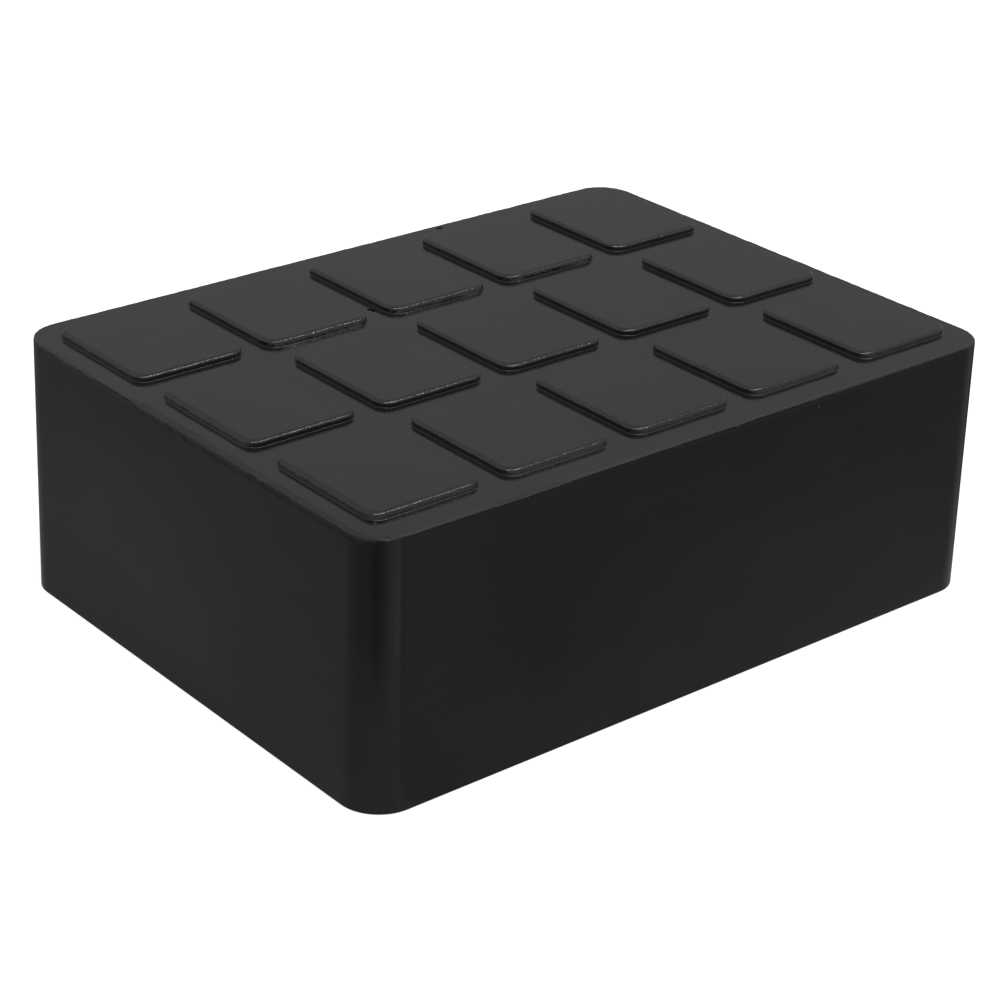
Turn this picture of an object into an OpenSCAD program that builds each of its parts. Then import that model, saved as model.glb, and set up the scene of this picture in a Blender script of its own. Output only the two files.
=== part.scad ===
// Rubber pad for the jacking beam of a vehicle lift.
// One compression-moulded block. Its top face carries a grid of raised pads that grip the vehicle.
// Frame: origin at the centre of the underside, X along the length, Z up.

/* [Block] */
// Length of the top face
top_length = 160; // [120:1:240]
// Width of the top face
top_width = 120; // [90:1:180]
// Height from the underside to the tops of the raised pads
overall_height = 57.7; // [30:0.1:120]
// Radius of the four upright corners where they meet the top face
corner_radius = 8; // [5:0.5:20]
// Draft of the side walls in degrees: the mould opens towards the underside
wall_draft = 0.75; // [0.25:0.25:3]
// Radius that rounds the edge of the top face
top_edge_radius = 0.5; // [0.2:0.1:2.5]

/* [Raised pads] */
// Number of pads along the length
pad_columns = 5; // [1:1:7]
// Number of pads along the width
pad_rows = 3; // [1:1:5]
// Height of a pad above the top face
pad_rise = 1.3; // [1.2:0.1:4]
// Channel between two pads, along the length
channel_length_gap = 5.4; // [3:0.1:9]
// Channel between two pads, along the width
channel_width_gap = 6.7; // [3:0.1:9]
// Border from the pads to the ends of the top face
end_border = 4.8; // [3.5:0.1:12]
// Border from the pads to the long sides of the top face
side_border = 6.7; // [3.5:0.1:12]
// Radius of a pad's corners, seen from above
pad_corner_radius = 3.2; // [1.5:0.1:6]
// Radius that rounds the top edge of a pad
pad_edge_radius = 0.9; // [0.3:0.05:0.95]
// Radius of the hollow where a pad's wall meets the top face
pad_foot_radius = 0.15; // [0.1:0.05:0.25]

/* [Hidden] */
$fn = 96;
// How far a pad's solid reaches down into the block, so that the two are one
pad_root = 1;
face_height = overall_height - pad_rise;
// How far the underside stands out past the top face on every side
draft_spread = face_height * tan(wall_draft);
pad_length = (top_length - 2 * end_border - (pad_columns - 1) * channel_length_gap) / pad_columns;
pad_width = (top_width - 2 * side_border - (pad_rows - 1) * channel_width_gap) / pad_rows;
pad_pitch_x = pad_length + channel_length_gap;
pad_pitch_y = pad_width + channel_width_gap;

// Half section of the block's wall: x = 0 is the axis of an upright corner, y runs up the wall
module wall_half_section() {
    rim_x = corner_radius - top_edge_radius * (1 - sin(wall_draft)) / cos(wall_draft);
    rim_y = face_height - top_edge_radius;
    polygon([
        [0, 0],
        [corner_radius + draft_spread, 0],
        [rim_x + top_edge_radius * cos(wall_draft), rim_y + top_edge_radius * sin(wall_draft)],
        [rim_x, rim_y],
        [rim_x, face_height],
        [0, face_height]
    ]);
    translate([rim_x, rim_y]) circle(r = top_edge_radius);
}

// Half section of a pad's wall: x = 0 is the axis of a pad corner, y = 0 is the top face
module pad_half_section() {
    crown_x = pad_corner_radius - pad_edge_radius;
    translate([0, -pad_root]) square([pad_corner_radius, pad_root + pad_rise - pad_edge_radius]);
    translate([0, -pad_root]) square([crown_x, pad_root + pad_rise]);
    translate([crown_x, pad_rise - pad_edge_radius]) circle(r = pad_edge_radius);
    difference() {
        translate([0, -pad_root]) square([pad_corner_radius + pad_foot_radius, pad_root + pad_foot_radius]);
        translate([pad_corner_radius + pad_foot_radius, pad_foot_radius]) circle(r = pad_foot_radius);
    }
}

// Solid with the given half section all round it: a core, four walls and four quarter-round corners.
// The corner axes stand on a rectangle, and the core reaches from bottom to top.
module rounded_body(axis_length, axis_width, bottom, top) {
    translate([-axis_length / 2, -axis_width / 2, bottom]) cube([axis_length, axis_width, top - bottom]);
    for (side = [0, 1]) {
        mirror([side, 0]) translate([axis_length / 2, 0])
            rotate([90, 0, 0]) linear_extrude(axis_width, center = true) children();
        mirror([0, side]) translate([0, axis_width / 2])
            rotate([90, 0, 90]) linear_extrude(axis_length, center = true) children();
    }
    for (end = [0, 1], side = [0, 1])
        mirror([end, 0]) mirror([0, side]) translate([axis_length / 2, axis_width / 2])
            rotate_extrude(angle = 90) children();
}

// The solid block with drafted walls, sharp round the underside and rounded round the top face
module block() {
    rounded_body(top_length - 2 * corner_radius, top_width - 2 * corner_radius, 0, face_height)
        wall_half_section();
}

// One raised pad, centred on its own axis, with the top face at z = 0
module pad() {
    rounded_body(pad_length - 2 * pad_corner_radius, pad_width - 2 * pad_corner_radius, -pad_root, pad_rise)
        pad_half_section();
}

// The grid of raised pads, centred on the block
module pad_grid() {
    for (column = [0 : pad_columns - 1], row = [0 : pad_rows - 1])
        translate([
            (column - (pad_columns - 1) / 2) * pad_pitch_x,
            (row - (pad_rows - 1) / 2) * pad_pitch_y,
            face_height
        ])
            pad();
}

module rubber_pad() {
    color([0.09, 0.09, 0.1]) {
        block();
        pad_grid();
    }
}

rubber_pad();
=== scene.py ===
"""Black rubber block with a grid of raised pads, in plain soft studio light."""

import math

import bpy
import numpy as np
from mathutils import Matrix, Vector, geometry, noise


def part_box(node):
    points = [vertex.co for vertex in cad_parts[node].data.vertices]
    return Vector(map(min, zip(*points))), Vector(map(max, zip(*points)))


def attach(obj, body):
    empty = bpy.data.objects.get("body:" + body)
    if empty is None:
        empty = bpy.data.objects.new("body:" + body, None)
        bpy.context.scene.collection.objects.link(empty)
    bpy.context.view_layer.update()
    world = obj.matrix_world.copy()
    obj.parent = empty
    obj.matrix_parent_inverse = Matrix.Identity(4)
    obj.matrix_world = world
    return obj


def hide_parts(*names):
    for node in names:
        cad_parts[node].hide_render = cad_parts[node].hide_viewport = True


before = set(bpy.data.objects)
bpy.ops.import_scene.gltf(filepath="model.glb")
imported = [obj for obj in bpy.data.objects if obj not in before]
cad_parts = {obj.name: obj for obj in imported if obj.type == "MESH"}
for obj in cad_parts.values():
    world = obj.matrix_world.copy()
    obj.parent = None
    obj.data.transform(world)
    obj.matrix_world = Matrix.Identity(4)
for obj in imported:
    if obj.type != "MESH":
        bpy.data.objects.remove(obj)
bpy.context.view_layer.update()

NODE = "rubber_pad"
BODY = "root"

# Sizes of the block in millimetres, the outer ones worked out from the CAD node's box in model.glb
MM = 0.001
node_low, node_high = (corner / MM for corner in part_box(NODE))
CAD_PAD_RISE = 1.3
WALL_DRAFT = math.radians(0.75)
CORNER_RADIUS = 8.0
FACE_HEIGHT = node_high.z - CAD_PAD_RISE
DRAFT_SPREAD = FACE_HEIGHT * math.tan(WALL_DRAFT)
TOP_LENGTH = node_high.x - node_low.x - 2 * DRAFT_SPREAD
TOP_WIDTH = node_high.y - node_low.y - 2 * DRAFT_SPREAD

# Sizes of the raised pads in millimetres: in the photo they stand 0.1 prouder than in the CAD
PAD_RISE = 1.4
COLUMNS, ROWS = 5, 3
CHANNEL_X, CHANNEL_Y = 5.4, 6.7
END_BORDER, SIDE_BORDER = 4.8, 6.7
PAD_LENGTH = (TOP_LENGTH - 2 * END_BORDER - (COLUMNS - 1) * CHANNEL_X) / COLUMNS
PAD_WIDTH = (TOP_WIDTH - 2 * SIDE_BORDER - (ROWS - 1) * CHANNEL_Y) / ROWS
PITCH_X = PAD_LENGTH + CHANNEL_X
PITCH_Y = PAD_WIDTH + CHANNEL_Y
PAD_CORNER = 3.2
# Radius of the hollow at a pad's foot: in front for each row of pads, from the front, and on the other sides
FRONT_FOOT, OTHER_FOOT = (0.15, 0.1, 0.1), 0.12
# Crown that rounds a pad's top edge: its width, how flat its ellipse is and the slope at its end in degrees
FRONT_CROWN, LEFT_CROWN, OTHER_CROWN = (1.0, 0.65, 86), (0.95, 0.22, 78), (0.55, 0.7, 88)

# How this one moulding departs from its nominal form, in millimetres: how far its grid of pads is off
# the middle, how far its underside is set back, and how much longer it is in front than at the back
GRID_SHIFT = np.array((0.45, 0.86))
UNDERSIDE_SHIFT = 0.42
LENGTH_TAPER = 0.7

# Each pad's front and left wall: its lean in degrees at the foot, how much more it leans below the crown,
# and how far its foot stands out in millimetres. Each tuple is a row of pads from left to right,
# and the front row comes first.
FRONT_LEAN = [(16, 20, 15.5, 19.5, 14.5), (4, 4, 4, 4, 6), (4, 20.5, 20.5, 20, 5)]
FRONT_BOW = [(4, 0, 5, 0, 3), (0, 0, 0, 0, 0), (0, 3, 3, 2, 0)]
FRONT_STEP = [(0.12, 0.2, 0.25, 0.15, -0.1), (0, 0.1, 0.15, 0.1, -0.05), (0.05, 0.8, 0.8, 0.55, 0)]
LEFT_LEAN = [(14.5, 5, 4, 4, 4), (14.5, 5, 4, 4, 4), (8.5, 6, 6, 6, 5)]
LEFT_BOW = [(4, 0, 0, 0, 0), (4, 0, 0, 0, 0), (6, 0, 0, 0, 0)]
LEFT_STEP = [(-0.1, 0, 0, 0.05, -0.1), (0, 0.1, 0.4, 0.1, 0.05), (0.05, 0.4, 0.35, 0.55, 0.25)]
OTHER_LEAN = 5

# Small pits in the top face: the middle, the length and the width of each, then for both their depth,
# the radius of the rounded lip, the slope of the walls as an inset and the share that rounds the corners
PITS = [(28.1, 58.4, 1.6, 0.8), (-14.3, 27.7, 1.2, 2.0)]
PIT_DEPTH, PIT_LIP, PIT_INSET, PIT_ROUNDING = 0.7, 0.05, 0.06, 0.35

# Rim of the top face: radius of its edge, width of the worn slope inside it, that slope in degrees
# and how far down the wall the wear reaches. The front and left rims change along their length:
# each tuple starts with the distance from the middle.
FRONT_RIM = [
    (-80, 0.12, 1.2, 6, 0.4), (-77.4, 0.07, 1.0, 2, 0.3), (-76, 0.25, 1.5, 9, 0.6), (-74, 0.07, 1.0, -2, 0.2),
    (-56, 0.1, 1.0, -2.2, 0.2), (-52, 0.16, 1.4, 4, 0.2), (-38, 0.16, 1.4, 4, 0.2),
    (-34, 0.1, 1.2, -2.2, 0.2), (4, 0.1, 0.9, -2, 0.2), (7, 0.25, 0.9, 2, 0.3), (10, 0.1, 1.0, -2.2, 0.2),
    (31, 0.12, 1.2, -1.6, 0.2), (34, 0.2, 1.2, -1.2, 0.3), (41, 0.2, 1.2, -1.2, 0.3),
    (45, 0.14, 1.4, -2.4, 0.2), (80, 0.12, 1.2, -2.6, 0.2),
]
LEFT_RIM = [
    (-60, 0.15, 0.9, 5, 0.4), (-55, 0.2, 1.1, 11, 1.1), (-16, 0.2, 1.2, 13, 1.2), (-10, 0.2, 1.3, 13, 1.0),
    (8, 0.2, 1.3, 13, 0.9), (14, 0.2, 1.4, 14, 0.7), (19, 0.12, 0.9, 6, 0.3), (29, 0.12, 0.8, 5, 0.3),
    (33, 0.2, 0.9, 9, 0.5), (48, 0.2, 0.9, 9, 0.5), (53, 0.15, 0.6, 3, 0.4), (60, 0.2, 0.6, 3, 0.4),
]
BACK_RIM = (0.25, 0.25, 3.0, 0.3)
RIGHT_RIM = (0.3, 0.8, 3.0, 0.3)
# Worn band of the wall below the rim: its lean, how far down the wear has to reach for the whole of that
# lean, and the least share of its reach that unevenness leaves
WORN_LEAN = math.radians(12)
FULL_WEAR, LEAST_WEAR = 0.5, 0.1
# Scuffs of the skin, which are full on the rim's edge: how deep down the wall they go and how strong they
# are there, and how much they fade towards the end of the worn slope
SCUFF_DEPTH, WALL_SCUFF, SLOPE_FADE = 0.6, 0.7, 0.7

# Unevenness, as layers of smooth noise: each layer's depth, the length of its waves in millimetres and
# its seed. A depth is a share of what it changes, apart from the lean's in radians and the step's and
# the band's in millimetres.
NOISE_GAIN = 2.2
RADIUS_WAVES = [(0.25, 1.1, 3), (0.35, 4, 5)]
WIDTH_WAVES = [(0.12, 5, 7)]
LIP_WAVES = [(0.1, 0.9, 8)]
SLOPE_WAVES = [(0.02, 2.2, 9), (0.08, 7, 10)]
WEAR_WAVES = [(0.12, 1.3, 13), (0.3, 3.5, 14)]
BAND_DEPTH, BAND_LENGTH, BAND_SEED = 0.003, 0.9, 15
LEAN_WAVES = [(0.008, 5, 21)]
STEP_WAVES = [(0.03, 7, 23)]
CROWN_WAVES = [(0.06, 6, 25), (0.05, 1.6, 27)]
PIT_UNEVENNESS, PIT_WAVE_LENGTH = 0.3, 0.6

# Skin of the rubber: how it bends light, its two tints, the range of its roughness and what wear adds
# to that, which is less than nothing because wear has polished it
RUBBER_IOR = 1.5
RUBBER_DARK, RUBBER_PALE = (0.0046, 0.0046, 0.0048), (0.0072, 0.0072, 0.0074)
SKIN_ROUGHNESS = (0.11, 0.16)
WORN_ROUGHNESS = -0.02
# Sizes in millimetres along X, Y and Z of its clouds, of the flow streaks on its walls and of its duller
# patches, and how finely the noise of the streaks and of the others is divided
CLOUD_SIZE, STREAK_SIZE, PATCH_SIZE = (14, 14, 14), (60, 60, 1.6), (4, 4, 4)
FINE_DETAIL, PLAIN_DETAIL = 3.0, 2.0
# The part of a noise's range over which one look gives way to the other
NOISE_BAND = (0.3, 0.7)
# Unevenness of the skin: the size and depth of each layer in millimetres, and whether only worn skin has it
GRAIN = [(22, 0.1, False), (1.5, 0.014, False), (0.9, 0.09, True), (0.4, 0.035, True)]
# Light dust: its tint, the distance between two specks and the radius of the largest in millimetres,
# and the share of the places that have none
DUST_TINT, DUST_SPACING, DUST_RADIUS, DUST_FREE = (0.1, 0.1, 0.1), 6.0, 0.16, 0.6

# Brightness of the glowing floor in what the block reflects, by azimuth in degrees about its near corner:
# painted light and painted shade that stand in for a lit floor with the block's shadow on it
FAR_FLOOR = [
    (-179, 0.19), (-160, 0.21), (-145, 0.11), (-135, 0.11), (-119, 0.2), (-107, 0.32), (-95, 0.38),
    (-86, 0.46), (-76, 0.24), (-56, 0.24), (-35, 0.19), (-18, 0.245), (-5, 0.26), (-3.8, 0.32), (-3, 0.3),
    (-1.5, 0.2), (2, 0.1), (5, 0.07), (20, 0.055), (30, 0.19), (78, 0.19), (84, 0.16), (90, 0.15), (96, 0.22),
    (102, 0.235), (105, 0.255), (108, 0.265), (111, 0.25), (115, 0.235), (150, 0.22), (165, 0.205),
    (178, 0.19),
]
NEAR_FLOOR = [
    (-179, 0.27), (-145, 0.34), (-130, 0.33), (-107, 0.33), (-95, 0.36), (-86, 0.33), (-76, 0.25),
    (-56, 0.235), (-18, 0.245), (-1, 0.26), (3, 0.1), (85, 0.1), (96, 0.2), (105, 0.215), (130, 0.23),
    (150, 0.24), (178, 0.27),
]
# Where the upright axis of the block's near corner stands, in metres
CORNER_AXIS = ((CORNER_RADIUS - TOP_LENGTH / 2) * MM, (CORNER_RADIUS - TOP_WIDTH / 2) * MM)
# Distances from that axis in metres: where the near floor gives way to the far floor, where that fades and
# to what share, and where it gives way to the open floor and how bright that is
NEAR_END = (0.035, 0.085)
FLOOR_FADE = (0.13, 0.22, 0.8)
OPEN_FLOOR = (0.35, 0.6, 0.6)
# The floor as the camera sees it: white paper, partly lit and partly glowing, so that its shadows are faint
PAPER_TONE, PAPER_GLOW, PAPER_ROUGHNESS = 0.45, 0.72, 0.9
# Half the floor's length, and how far it lies below the underside, in metres
FLOOR_HALF, FLOOR_DROP = 3.0, 0.0002

# Brightness of the studio by the sine of the elevation, behind the block and in front of it,
# and the share of the front tones by azimuth in degrees
BACK_SKY = [
    (0, 0.13), (0.2, 0.2), (0.3, 0.33), (0.325, 0.34), (0.345, 0.325), (0.37, 0.322), (0.43, 0.355),
    (0.6, 0.37), (0.75, 0.4), (1, 0.7),
]
FRONT_SKY = [(0, 0.65), (0.6, 0.7), (0.74, 0.95), (0.85, 0.9), (1, 0.7)]
FRONT_SHARE = [
    (-179, 1), (-35, 1), (0, 0.46), (30, 0.38), (40, 0), (46, 0), (52, 0.06), (60, 0.06), (85, 0.18),
    (97, 0.45), (122, 0.9), (135, 1),
]

# Soft lamps: name, direction seen from the block, distance, length and width in metres, and radiance
LAMPS = [
    ("strip", (0.015, -0.32, 0.86), 2.0, (2.37, 0.25), 14),
    ("strip_end", (1.43, -0.697, 1.873), 2.46, (0.32, 0.25), 2),
]

# The photograph's viewpoint: the camera's place in millimetres, the azimuth it looks along, how far it looks
# down, how far it is turned on its axis, and its sensor and lens
CAMERA_PLACE = (-335.65, -396.52, 271.52)
CAMERA_AZIMUTH, CAMERA_DIP, CAMERA_ROLL = (math.radians(angle) for angle in (49.841, 25.93, 1.739))
SENSOR_WIDTH, FOCAL_LENGTH = 36.0, 98.33
CLIP_START = 0.01

# Spacing of the mesh in millimetres on the walls, the rim and the pads, and its steps round a corner of each
WALL_STEP, RIM_STEP, PAD_STEP = 4.0, 0.3, 0.6
WALL_TURNS, RIM_TURNS, PAD_TURNS, PIT_TURNS = 24, 42, 11, 5
# Where rings lie: heights on the block's walls, depths on the worn band, and shares of the worn slope
# and of a pad's wall
WALL_HEIGHTS = (0, 1, 8, 18, 28, 38, 47, 53)
WORN_DEPTHS = (1.8, 1.3, 1.0, 0.75, 0.5, 0.25, 0)
SLOPE_SHARES = (0.3, 0.65, 1)
PAD_WALL_SHARES = (0.4, 0.7)
# Steps round the rim's edge, a pad's hollow foot, a pad's crown and a pit's lip
EDGE_STEPS, FOOT_STEPS, CROWN_STEPS, LIP_STEPS = 5, 4, 11, 3
# Flat rings that keep the shading of the flat faces clean: how far they lie inside the rim, round and
# on a pad, and round a pit
RIM_GUARDS = (0.1, 0.3)
PAD_GUARD, PIT_GUARD = 0.12, 0.05
# Distance under which the triangulation of a flat face takes two points for one
WELD_DISTANCE = 1e-7


class Loop:
    """Points round a rounded rectangle: each has a place on the rectangle of corner axes and a normal."""

    def __init__(self, half_x, half_y, step, turns, centre=(0, 0)):
        corners = [(half_x, -half_y), (half_x, half_y), (-half_x, half_y), (-half_x, -half_y)]
        axes, angles = [], []
        for side in range(4):
            start, end = np.array(corners[side]), np.array(corners[(side + 1) % 4])
            steps = max(1, round(float(np.abs(end - start).sum()) / step))
            for k in range(steps):
                axes.append(start + (end - start) * k / steps)
                angles.append(side * math.pi / 2)
            for k in range(turns):
                axes.append(end)
                angles.append((side + k / turns) * math.pi / 2)
        self.axes = np.array(axes) + centre
        self.normals = np.stack([np.cos(angles), np.sin(angles)], 1)
        self.count = len(axes)

    def blend(self, right, back, left, front):
        """A value at each point from one for each side, blended round the corners."""
        x, y = self.normals.T
        return x ** 2 * np.where(x > 0, right, left) + y ** 2 * np.where(y > 0, back, front)

    def places(self, reach):
        """Places that far out from the corner axes, seen from above: one reach, or one for each point."""
        return self.axes + self.normals * np.broadcast_to(reach, self.count)[:, None]

    def ring(self, reach, height):
        """Points that far out and at that height: one value, or one for each point."""
        return np.column_stack([self.places(reach), np.broadcast_to(height, self.count)])


class Surface:
    """Vertices and faces of one welded mesh."""

    def __init__(self):
        self.points, self.worn, self.faces, self.sharp = [], [], [], []

    def add(self, points, worn=0.0):
        """The points as new vertices, with how worn the skin is there: from 0 to 1."""
        first = len(self.points)
        self.points.extend(map(tuple, points))
        self.worn.extend([worn] * len(points))
        return list(range(first, len(self.points)))

    def outline(self, ring):
        """Places of a ring's points, seen from above."""
        return np.array([self.points[i][:2] for i in ring])

    def skin(self, rings):
        """Quads between each ring and the next, which all have as many points."""
        for lower, upper in zip(rings, rings[1:]):
            for i in range(len(lower)):
                j = (i + 1) % len(lower)
                self.faces.append((lower[i], lower[j], upper[j], upper[i]))

    def progress(self, ring):
        """Share of the way round at the end of each edge of a ring."""
        places = self.outline(ring)
        ways = np.cumsum(np.linalg.norm(np.roll(places, -1, 0) - places, axis=1))
        return ways / ways[-1]

    def stitch(self, lower, upper):
        """Triangles between two rings that start at the same place and differ in their number of points."""
        lower_way, upper_way = self.progress(lower), self.progress(upper)
        i = j = 0
        while i < len(lower) or j < len(upper):
            a, b = lower[i % len(lower)], upper[j % len(upper)]
            if j == len(upper) or (i < len(lower) and lower_way[i] <= upper_way[j]):
                self.faces.append((a, lower[(i + 1) % len(lower)], b))
                i += 1
            else:
                self.faces.append((a, upper[(j + 1) % len(upper)], b))
                j += 1

    def fill(self, outer, holes=(), up=True):
        """Triangles inside the outer ring and outside the holes."""
        rings = [outer, *holes]
        outlines = [self.outline(ring) for ring in rings]
        index = [i for ring in rings for i in ring]
        edges, first = [], 0
        for ring in rings:
            edges += [(first + k, first + (k + 1) % len(ring)) for k in range(len(ring))]
            first += len(ring)
        flat = [Vector(self.points[i][:2]) for i in index]
        made = geometry.delaunay_2d_cdt(flat, edges, [], 0, WELD_DISTANCE)
        places, triangles, sources = made[0], made[2], made[3]
        for triangle in triangles:
            centre = sum((places[k] for k in triangle), Vector((0, 0))) / 3
            if not inside(centre, outlines[0]) or any(inside(centre, hole) for hole in outlines[1:]):
                continue
            face = [index[sources[k][0]] for k in triangle]
            a, b, c = (Vector(self.points[i][:2]) for i in face)
            if ((b - a).cross(c - a) > 0) != up:
                face.reverse()
            self.faces.append(tuple(face))


def inside(point, outline):
    """True if the point is within the outline: a ray from it to the right crosses an odd number of edges."""
    x, y = outline[:, 0], outline[:, 1]
    next_x, next_y = np.roll(x, -1), np.roll(y, -1)
    crosses = (y > point.y) != (next_y > point.y)
    rise = np.where(crosses, next_y - y, 1)
    return bool(np.sum(crosses & (point.x < x + (next_x - x) * (point.y - y) / rise)) % 2)


def waves(places, length, seed):
    """Smooth noise from about -1 to 1 at each place, with waves of that length."""
    return np.array([NOISE_GAIN * noise.noise(Vector((x / length, y / length, seed))) for x, y in places])


def uneven(places, layers):
    """The sum of some layers of waves at each place."""
    return sum(depth * waves(places, length, seed) for depth, length, seed in layers)


def wall_reach(height):
    """How far out from its corner axes the drafted wall of the block is at that height."""
    return CORNER_RADIUS + (FACE_HEIGHT - height) * math.tan(WALL_DRAFT)


def rim_values(table, distances):
    """What a rim's table says at each distance from the middle: radius, width, slope and wear."""
    starts, *columns = np.array(table).T
    return [np.interp(distances, starts, column) for column in columns]


def build_rim(surface, loop):
    """The worn band of the walls, the rounded edge and the worn slope inside it; returns their rings."""
    places = loop.places(CORNER_RADIUS)
    left, front = rim_values(LEFT_RIM, places[:, 1]), rim_values(FRONT_RIM, places[:, 0])
    radius, width, slope, wear = (loop.blend(*sides) for sides in zip(RIGHT_RIM, BACK_RIM, left, front))
    radius = radius * (1 + uneven(places, RADIUS_WAVES))
    width = width * (1 + uneven(places, WIDTH_WAVES))
    slope = np.radians(slope) * (1 + uneven(places, SLOPE_WAVES))
    wear = wear * np.maximum(LEAST_WEAR, 1 + uneven(places, WEAR_WAVES))
    fall = np.tan(slope) * width
    top = FACE_HEIGHT - fall
    width = width * (1 + uneven(places, LIP_WAVES))
    lean = WORN_LEAN * np.clip(wear / FULL_WEAR, 0, 1)
    rings = []
    for depth in WORN_DEPTHS:
        height = top - radius * (1 - np.sin(lean)) - depth
        sunk = np.maximum(0, wear - depth) * math.tan(WORN_LEAN)
        sunk = sunk + (sunk > 0) * BAND_DEPTH * waves(places, BAND_LENGTH, BAND_SEED + depth / BAND_LENGTH)
        reach = wall_reach(height) - sunk
        rings.append(surface.add(loop.ring(reach, height), WALL_SCUFF if depth < SCUFF_DEPTH else 0.0))
    for share in np.linspace(0, 1, EDGE_STEPS + 1)[1:]:
        angle = lean + (math.pi / 2 - slope - lean) * share
        edge = reach - radius * (np.cos(lean) - np.cos(angle))
        rings.append(surface.add(loop.ring(edge, top - radius * (1 - np.sin(angle))), 1.0))
    for share in SLOPE_SHARES:
        rings.append(surface.add(loop.ring(edge - share * width, top + share * fall), 1 - SLOPE_FADE * share))
    for inset in RIM_GUARDS:
        rings.append(surface.add(loop.ring(edge - width - inset, FACE_HEIGHT)))
    return rings


def build_block(surface):
    """Underside, walls and rim; returns the ring where the flat top face starts."""
    half_x, half_y = TOP_LENGTH / 2 - CORNER_RADIUS, TOP_WIDTH / 2 - CORNER_RADIUS
    loop = Loop(half_x, half_y, WALL_STEP, WALL_TURNS)
    walls = [surface.add(loop.ring(wall_reach(height), height)) for height in WALL_HEIGHTS]
    rim = build_rim(surface, Loop(half_x, half_y, RIM_STEP, RIM_TURNS))
    surface.fill(walls[0], up=False)
    surface.skin(walls)
    surface.stitch(walls[-1], rim[0])
    surface.skin(rim)
    surface.sharp = walls[0]
    return rim[-1]


def pad_section(loop, column, row):
    """Section of a pad from its foot to its flat top: how far out, how high and how worn each point is."""
    places = loop.places(PAD_CORNER)
    left = (LEFT_LEAN[row][column], LEFT_BOW[row][column], LEFT_STEP[row][column])
    front = (FRONT_LEAN[row][column], FRONT_BOW[row][column], FRONT_STEP[row][column])
    other = (OTHER_LEAN, 0, 0)
    lean, bow, step = (loop.blend(*sides) for sides in zip(other, other, left, front))
    lean = np.radians(lean) + uneven(places, LEAN_WAVES)
    step = step + uneven(places, STEP_WAVES)
    foot = loop.blend(OTHER_FOOT, OTHER_FOOT, OTHER_FOOT, FRONT_FOOT[row])
    crowns = zip(OTHER_CROWN, OTHER_CROWN, LEFT_CROWN, FRONT_CROWN)
    crown_width, flatness, end = (loop.blend(*sides) for sides in crowns)
    crown_width = crown_width * (1 + uneven(places, CROWN_WAVES))

    # The hollow foot: an arc from the flat of the channel to the lean of the wall
    foot_x = step + foot * (1 - np.sin(lean)) / np.cos(lean)
    section = [(foot_x + PAD_GUARD, 0, 0)]
    for share in np.linspace(0, 1, FOOT_STEPS + 1):
        angle = math.pi / 2 * (1 - share) + lean * share
        section.append((foot_x - foot * np.cos(angle), foot * (1 - np.sin(angle)), 0))

    # The wall: its lean grows by the bow up to the foot of the crown
    top_lean = lean + np.radians(bow)
    start, end = (np.arctan(flatness * np.tan(tilt)) for tilt in (top_lean, np.radians(end)))
    crown_x = crown_width / (np.cos(start) - np.cos(end))
    crown_z = flatness * crown_x
    crown_foot = PAD_RISE - crown_z * (np.sin(end) - np.sin(start))
    growth = (np.tan(top_lean) - np.tan(lean)) / (2 * crown_foot)

    def wall(height):
        return step - height * np.tan(lean) - height ** 2 * growth

    section += [(wall(share * crown_foot), share * crown_foot, share) for share in PAD_WALL_SHARES]
    wall_x = wall(crown_foot)

    # The crown: an arc of an ellipse, worn most at its outer edge
    for share in np.linspace(0, 1, CROWN_STEPS + 1):
        angle = start * (1 - share) + end * share
        out, up = crown_x * (np.cos(angle) - np.cos(start)), crown_z * (np.sin(angle) - np.sin(start))
        section.append((wall_x + out, crown_foot + up, 1 - share ** 3))
    section.append((wall_x - crown_width - PAD_GUARD, PAD_RISE, 0))
    return section


def build_pad(surface, column, row):
    """One raised pad; returns the ring at its foot."""
    centre = GRID_SHIFT + ((column - (COLUMNS - 1) / 2) * PITCH_X, (row - (ROWS - 1) / 2) * PITCH_Y)
    loop = Loop(PAD_LENGTH / 2 - PAD_CORNER, PAD_WIDTH / 2 - PAD_CORNER, PAD_STEP, PAD_TURNS, centre)
    rings = []
    for offset, height, worn in pad_section(loop, column, row):
        rings.append(surface.add(loop.ring(PAD_CORNER + offset, FACE_HEIGHT + height), worn))
    surface.skin(rings)
    surface.fill(rings[-1])
    return rings[0]


def build_pit(surface, x, y, length, width):
    """One small pit; returns the ring at its mouth."""
    corner = min(length, width) * PIT_ROUNDING
    loop = Loop(length / 2 - corner, width / 2 - corner, RIM_STEP, PIT_TURNS, (x, y))
    reach = corner * (1 + PIT_UNEVENNESS * waves(loop.places(corner) - (x, y), PIT_WAVE_LENGTH, x))
    section = [(PIT_LIP + PIT_GUARD, 0)]
    for angle in np.linspace(0, math.pi / 2, LIP_STEPS + 1):
        section.append((PIT_LIP * (1 - math.sin(angle)), -PIT_LIP * (1 - math.cos(angle))))
    section += [(-0.5 * PIT_INSET, -0.6 * PIT_DEPTH), (-PIT_INSET, -PIT_DEPTH)]
    rings = [surface.add(loop.ring(reach + offset, FACE_HEIGHT + height)) for offset, height in section]
    surface.skin(rings)
    surface.fill(rings[-1])
    return rings[0]


def settle(points):
    """The points as the moulding came out: longer in front than at the back, with its underside set back."""
    x, y, z = np.array(points).T
    return np.column_stack([
        x - LENGTH_TAPER * (x / TOP_LENGTH + 0.5) * y / TOP_WIDTH,
        y + UNDERSIDE_SHIFT * (FACE_HEIGHT - z) / FACE_HEIGHT,
        z,
    ])


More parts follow.
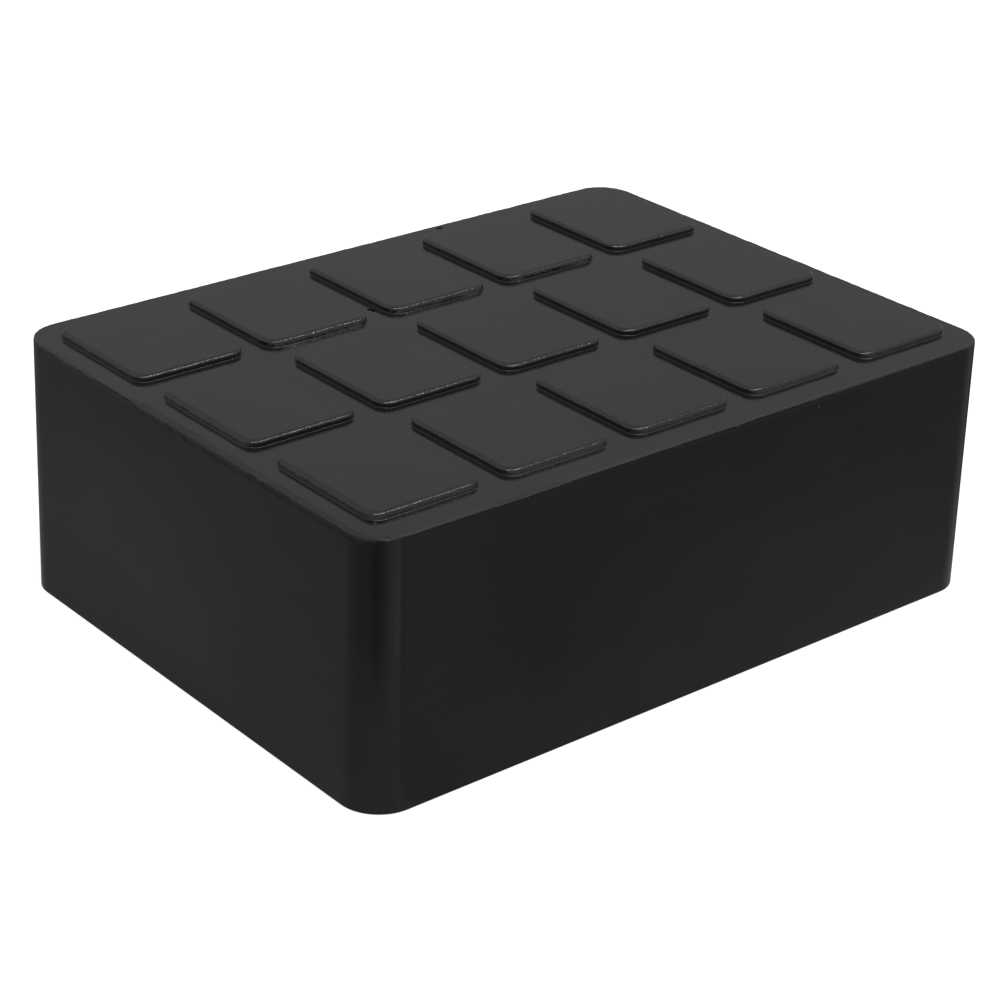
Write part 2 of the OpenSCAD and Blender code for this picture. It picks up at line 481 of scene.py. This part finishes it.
def build_rubber():
    """The whole moulding as one closed mesh that stands for the CAD node."""
    surface = Surface()
    rim = build_block(surface)
    feet = [build_pad(surface, column, row) for column in range(COLUMNS) for row in range(ROWS)]
    mouths = [build_pit(surface, *pit) for pit in PITS]
    surface.fill(rim, feet + mouths)

    mesh = bpy.data.meshes.new("rubber_block")
    mesh.from_pydata((settle(surface.points) * MM).tolist(), [], surface.faces)
    mesh.update()
    mesh.attributes.new("worn", "FLOAT", "POINT").data.foreach_set("value", surface.worn)
    mesh.polygons.foreach_set("use_smooth", [True] * len(mesh.polygons))
    on_edge = set(surface.sharp)
    for edge in mesh.edges:
        edge.use_edge_sharp = on_edge.issuperset(edge.vertices)
    mesh.materials.append(rubber_material())
    block = bpy.data.objects.new("rubber_block", mesh)
    bpy.context.scene.collection.objects.link(block)
    return block


def grey(tone):
    """Opaque grey of that brightness."""
    return (tone, tone, tone, 1)


class Shading:
    """Node tree of a material or of the world, with short ways to add what this scene needs."""

    def __init__(self, owner):
        owner.use_nodes = True
        self.nodes, self.links = owner.node_tree.nodes, owner.node_tree.links

    def fill(self, node, sources):
        """Fill inputs of a node, each by name or number: an output is linked and anything else is a value."""
        for name, source in sources.items():
            if isinstance(source, bpy.types.NodeSocket):
                self.links.new(source, node.inputs[name])
            else:
                node.inputs[name].default_value = source

    def add(self, kind, sources):
        """A new node of that kind with its inputs filled."""
        node = self.nodes.new("ShaderNode" + kind)
        self.fill(node, sources)
        return node

    def noise_field(self, places, stretch, detail=PLAIN_DETAIL):
        """Noise from 0 to 1 whose waves are that many millimetres long along X, Y and Z."""
        scale = self.add("Mapping", {"Vector": places, "Scale": [1 / (length * MM) for length in stretch]})
        field = self.add("TexNoise", {"Vector": scale.outputs["Vector"], "Scale": 1.0, "Detail": detail})
        return field.outputs["Fac"]

    def combine(self, operation, first, second):
        """Output of a sum, product or comparison of two outputs or numbers."""
        node = self.add("Math", {0: first, 1: second})
        node.operation = operation
        return node.outputs["Value"]

    def smooth_step(self, value, start, end, low, high):
        """Output that goes smoothly from low to high while the value goes from start to end."""
        step = self.add("MapRange", {"From Min": start, "From Max": end, "To Min": low, "To Max": high})
        step.interpolation_type = "SMOOTHSTEP"
        self.fill(step, {"Value": value})
        return step.outputs["Result"]

    def mix_colors(self, share, first, second):
        """Colour output between the two, by the share of the second."""
        return self.add("MixRGB", {"Fac": share, "Color1": first, "Color2": second}).outputs["Color"]

    def tone_ramp(self, value, tones):
        """Colour output that gives each value its tone."""
        ramp = self.add("ValToRGB", {"Fac": value})
        stops = ramp.color_ramp.elements
        for k, (place, tone) in enumerate(tones):
            stop = stops[k] if k < 2 else stops.new(place)
            stop.position = place
            stop.color = grey(tone)
        return ramp.outputs["Color"]

    def azimuth_ramp(self, vector, tones):
        """Colour output that gives each azimuth of a vector its tone."""
        turn = self.add("TexGradient", {"Vector": vector})
        turn.gradient_type = "RADIAL"
        return self.tone_ramp(turn.outputs["Fac"], [((azimuth + 180) / 360, tone) for azimuth, tone in tones])

    def show(self, output, reflected, seen):
        """The output's surface is the second shader for camera rays and the first for all others."""
        path = self.add("LightPath", {})
        mix = self.add("MixShader", {0: path.outputs["Is Camera Ray"], 1: reflected, 2: seen})
        self.fill(self.nodes[output], {"Surface": mix.outputs["Shader"]})


def rubber_tint(shading, places):
    """Colour of the rubber: near black, in soft clouds and in flow streaks on the walls, with dust on it."""
    clouds = shading.noise_field(places, CLOUD_SIZE)
    streaks = shading.noise_field(places, STREAK_SIZE, FINE_DETAIL)
    halves = [shading.combine("MULTIPLY", part, 0.5) for part in (clouds, streaks)]
    pale = shading.smooth_step(shading.combine("ADD", *halves), *NOISE_BAND, 0, 1)
    tint = shading.mix_colors(pale, (*RUBBER_DARK, 1), (*RUBBER_PALE, 1))

    specks = shading.add("TexVoronoi", {"Vector": places, "Scale": 1 / (DUST_SPACING * MM)})
    luck = shading.add("SeparateColor", {"Color": specks.outputs["Color"]})
    radius = shading.smooth_step(luck.outputs["Red"], DUST_FREE, 1, 0, DUST_RADIUS / DUST_SPACING)
    on_speck = shading.combine("LESS_THAN", specks.outputs["Distance"], radius)
    return shading.mix_colors(on_speck, tint, (*DUST_TINT, 1))


def rubber_grain(shading, places, worn):
    """Normal of the skin: slight waves, a fine grain, and scuffs where the skin is worn."""
    normal = None
    for size, depth, only_worn in GRAIN:
        height = shading.noise_field(places, (size, size, size))
        if only_worn:
            height = shading.combine("MULTIPLY", height, worn)
        bump = shading.add("Bump", {"Distance": depth * MM, "Height": height})
        if normal:
            shading.fill(bump, {"Normal": normal})
        normal = bump.outputs["Normal"]
    return normal


def rubber_material():
    """Black moulded rubber with a satin skin, which wear has polished and scuffed at the edges."""
    material = bpy.data.materials.new("black_rubber")
    shading = Shading(material)
    places = shading.add("TexCoord", {}).outputs["Object"]
    wear = shading.add("Attribute", {})
    wear.attribute_name = "worn"
    worn = wear.outputs["Fac"]
    patches = shading.smooth_step(shading.noise_field(places, PATCH_SIZE), *NOISE_BAND, *SKIN_ROUGHNESS)
    polish = shading.combine("MULTIPLY", worn, WORN_ROUGHNESS)
    shading.fill(shading.nodes["Principled BSDF"], {
        "IOR": RUBBER_IOR,
        "Base Color": rubber_tint(shading, places),
        "Roughness": shading.combine("ADD", patches, polish),
        "Normal": rubber_grain(shading, places, worn),
    })
    return material


def floor_material():
    """White floor with a faint shadow for the camera, and for all other rays a glowing floor with painted
    light and painted shade, which the block reflects.
    """
    material = bpy.data.materials.new("pale_floor")
    shading = Shading(material)
    paper = shading.nodes["Principled BSDF"]
    shading.fill(paper, {
        "Base Color": grey(PAPER_TONE),
        "Roughness": PAPER_ROUGHNESS,
        "Specular IOR Level": 0.0,
        "Emission Color": grey(1),
        "Emission Strength": PAPER_GLOW,
    })

    places = shading.add("TexCoord", {}).outputs["Object"]
    shift = (-CORNER_AXIS[0], -CORNER_AXIS[1], 0)
    about_corner = shading.add("Mapping", {"Vector": places, "Location": shift}).outputs["Vector"]
    length = shading.add("VectorMath", {0: about_corner})
    length.operation = "LENGTH"
    distance = length.outputs["Value"]
    # Painted light and painted shade of the glowing floor, by azimuth and distance about the near corner
    near = shading.azimuth_ramp(about_corner, NEAR_FLOOR)
    far = shading.azimuth_ramp(about_corner, FAR_FLOOR)
    tone = shading.mix_colors(shading.smooth_step(distance, *NEAR_END, 0, 1), near, far)
    fade_start, fade_end, faded = FLOOR_FADE
    open_start, open_end, open_tone = OPEN_FLOOR
    is_open = shading.smooth_step(distance, open_start, open_end, 0, 1)
    glow = shading.add("Emission", {
        "Color": shading.mix_colors(is_open, tone, grey(open_tone / faded)),
        "Strength": shading.smooth_step(distance, fade_start, fade_end, 1, faded),
    })
    shading.show("Material Output", glow.outputs["Emission"], paper.outputs["BSDF"])
    return material


def build_floor():
    """Plain floor just below the underside."""
    corners = [(x * FLOOR_HALF, y * FLOOR_HALF, 0) for x, y in ((-1, -1), (1, -1), (1, 1), (-1, 1))]
    mesh = bpy.data.meshes.new("floor")
    mesh.from_pydata(corners, [], [(0, 1, 2, 3)])
    mesh.materials.append(floor_material())
    floor = bpy.data.objects.new("floor", mesh)
    floor.location.z = -FLOOR_DROP
    bpy.context.scene.collection.objects.link(floor)


def add_world():
    """Plain grey surroundings that the camera sees as white."""
    world = bpy.data.worlds.new("studio")
    shading = Shading(world)
    direction = shading.add("TexCoord", {}).outputs["Generated"]
    height = shading.add("SeparateXYZ", {"Vector": direction}).outputs["Z"]
    back = shading.tone_ramp(height, BACK_SKY)
    front = shading.tone_ramp(height, FRONT_SKY)
    share = shading.azimuth_ramp(direction, FRONT_SHARE)
    room = shading.nodes["Background"]
    shading.fill(room, {"Color": shading.mix_colors(share, back, front)})
    white = shading.add("Background", {"Color": grey(1), "Strength": 1.0})
    shading.show("World Output", room.outputs["Background"], white.outputs["Background"])
    bpy.context.scene.world = world


def add_lamp(name, direction, distance, size, radiance):
    """A rectangular soft lamp with its long side along X, seen from the block in that direction."""
    data = bpy.data.lights.new(name, "AREA")
    data.shape = "RECTANGLE"
    data.size, data.size_y = size
    data.energy = radiance * math.pi * size[0] * size[1]
    lamp = bpy.data.objects.new(name, data)
    away = Vector(direction).normalized()
    long_side = Vector((1, 0, 0))
    facing = (away - long_side * away.x).normalized()
    rotation = Matrix((long_side, facing.cross(long_side), facing)).transposed().to_4x4()
    lamp.matrix_world = Matrix.Translation(away * distance) @ rotation
    lamp.visible_camera = False
    bpy.context.scene.collection.objects.link(lamp)


def add_camera():
    """The photograph's viewpoint, found by fitting a pinhole camera to the block's edges."""
    ahead = Vector((
        math.cos(CAMERA_DIP) * math.cos(CAMERA_AZIMUTH),
        math.cos(CAMERA_DIP) * math.sin(CAMERA_AZIMUTH),
        -math.sin(CAMERA_DIP),
    ))
    level_right = Vector((math.sin(CAMERA_AZIMUTH), -math.cos(CAMERA_AZIMUTH), 0))
    level_up = level_right.cross(ahead)
    right = math.cos(CAMERA_ROLL) * level_right + math.sin(CAMERA_ROLL) * level_up
    up = -math.sin(CAMERA_ROLL) * level_right + math.cos(CAMERA_ROLL) * level_up
    data = bpy.data.cameras.new("camera")
    data.sensor_width = SENSOR_WIDTH
    data.lens = FOCAL_LENGTH
    data.clip_start = CLIP_START
    camera = bpy.data.objects.new("camera", data)
    rotation = Matrix((right, up, -ahead)).transposed().to_4x4()
    camera.matrix_world = Matrix.Translation(Vector(CAMERA_PLACE) * MM) @ rotation
    bpy.context.scene.collection.objects.link(camera)
    bpy.context.scene.camera = camera


block = build_rubber()
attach(block, BODY)
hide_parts(NODE)
build_floor()
add_world()
add_camera()
for lamp in LAMPS:
    add_lamp(*lamp)
bpy.context.scene.view_settings.view_transform = "Standard"
